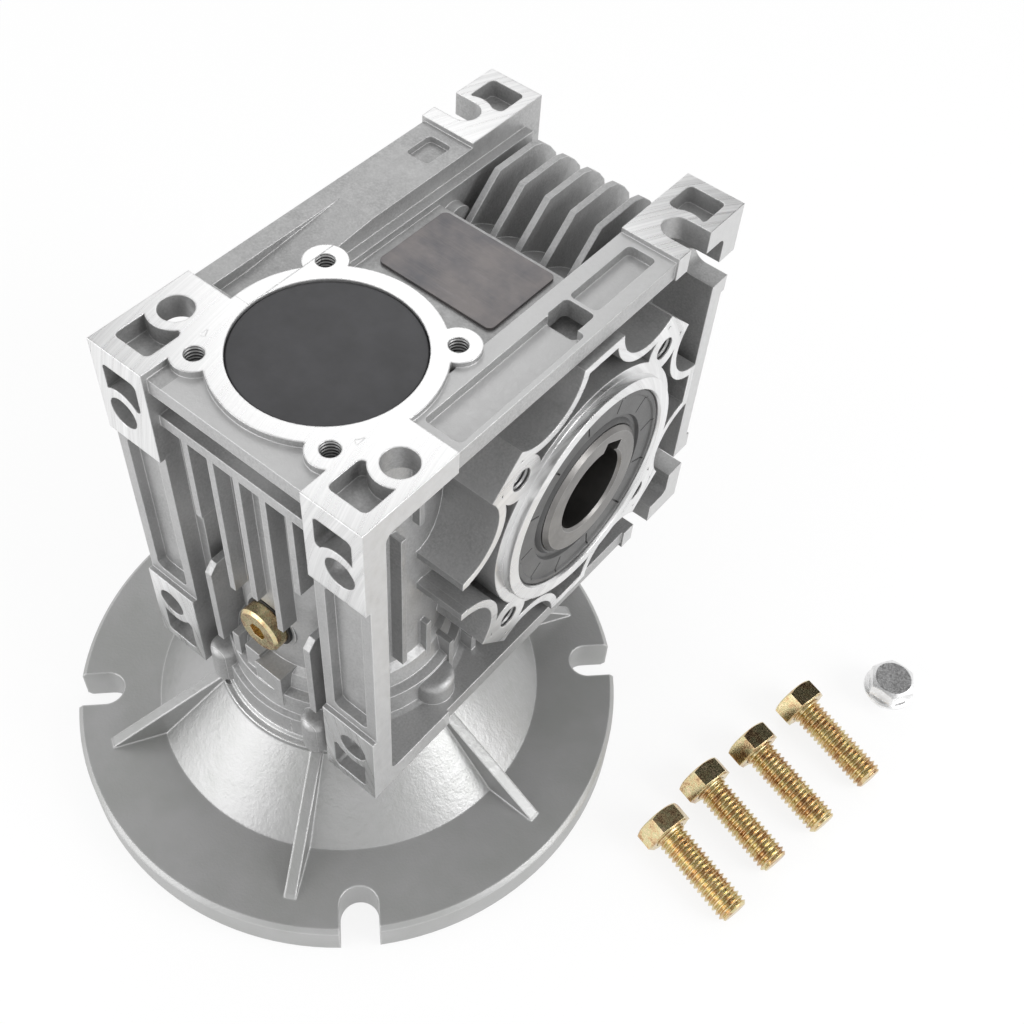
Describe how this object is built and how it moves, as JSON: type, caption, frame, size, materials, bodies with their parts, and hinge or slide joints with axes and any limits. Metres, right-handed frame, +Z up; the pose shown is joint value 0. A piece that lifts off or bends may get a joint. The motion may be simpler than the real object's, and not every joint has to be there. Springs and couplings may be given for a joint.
{
  "type": "worm gear reducer",
  "caption": "Right-angle worm gear reducer: cast housing with hollow keyed output shaft, worm and wheel inside, motor face flange, loose bolts and vent plug.",
  "frame": {"origin": "on the worm axis, in the resting face of the motor flange", "axes": "+Z up along the worm axis, away from the motor; +X along the output axis, to the integral side of the housing; +Y from the worm towards the wheel and the back"},
  "size_m": [0.2262, 0.2035, 0.1555],
  "materials": {
    "cast_aluminium": "satin cast skin with milled pads",
    "flange_aluminium": "satin, smooth disc and pebbled cone",
    "shaft_steel": "turned",
    "worm_steel": "ground",
    "bronze": "machined",
    "bearing_steel": "ground",
    "ball_steel": "polished",
    "cage_steel": "pressed sheet",
    "black_steel": "black oxide",
    "yellow_zinc": "yellow zinc plated",
    "bright_zinc": "bright zinc plated",
    "black_rubber": "matt",
    "grey_rubber": "matt",
    "cap_rubber": "satin moulded",
    "dark_plate": "dark anodised"
  },
  "bodies": {
    "gearbox": {"housing": "cast_aluminium", "side_cover": "cast_aluminium", "side_cover_oring": "black_rubber", "side_cover_screws": "black_steel", "motor_flange": "flange_aluminium", "motor_flange_screws": "black_steel", "rear_cap": "cap_rubber", "rear_bearing_outer_race": "bearing_steel", "input_bearing_outer_race": "bearing_steel", "right_bearing_outer_race": "bearing_steel", "left_bearing_outer_race": "bearing_steel", "input_circlip": "black_steel", "input_seal": "black_rubber", "right_output_seal": "grey_rubber", "left_output_seal": "grey_rubber", "oil_plug": "yellow_zinc", "oil_plug_washer": "black_rubber", "nameplate": "dark_plate", "motor_bolts": "yellow_zinc", "vent_plug": "bright_zinc"},
    "output": {"hollow_output_shaft": "shaft_steel", "worm_wheel_rim": "bronze", "right_bearing_inner_race": "bearing_steel", "left_bearing_inner_race": "bearing_steel"},
    "worm": {"worm_shaft": "worm_steel", "rear_bearing_inner_race": "bearing_steel", "input_bearing_inner_race": "bearing_steel"},
    "output_bearing_cages": {"right_bearing_balls": "ball_steel", "right_bearing_cage": "cage_steel", "left_bearing_balls": "ball_steel", "left_bearing_cage": "cage_steel"},
    "rear_bearing_cages": {"rear_bearing_balls": "ball_steel", "rear_bearing_cage": "cage_steel"},
    "input_bearing_cages": {"input_bearing_balls": "ball_steel", "input_bearing_cage": "cage_steel"}
  },
  "joints": [
    {"name": "output_spin", "type": "hinge", "parent": "gearbox", "child": "output", "pos_m": [0, 0.05, 0.0955], "axis": [1, 0, 0], "continuous": true},
    {"name": "worm_spin", "type": "hinge", "parent": "gearbox", "child": "worm", "pos_m": [0, 0, 0.0955], "axis": [0, 0, 1], "continuous": true},
    {"name": "output_cages_spin", "type": "hinge", "parent": "gearbox", "child": "output_bearing_cages", "pos_m": [0, 0.05, 0.0955], "axis": [1, 0, 0], "continuous": true},
    {"name": "rear_cage_spin", "type": "hinge", "parent": "gearbox", "child": "rear_bearing_cages", "pos_m": [0, 0, 0.14], "axis": [0, 0, 1], "continuous": true},
    {"name": "input_cage_spin", "type": "hinge", "parent": "gearbox", "child": "input_bearing_cages", "pos_m": [0, 0, 0.05], "axis": [0, 0, 1], "continuous": true}
  ],
  "couplings": [
    {"joint": "worm_spin", "follows": "output_spin", "ratio": 15},
    {"joint": "output_cages_spin", "follows": "output_spin", "ratio": 0.4222},
    {"joint": "rear_cage_spin", "follows": "output_spin", "ratio": 5.6866},
    {"joint": "input_cage_spin", "follows": "output_spin", "ratio": 6.1765}
  ]
}
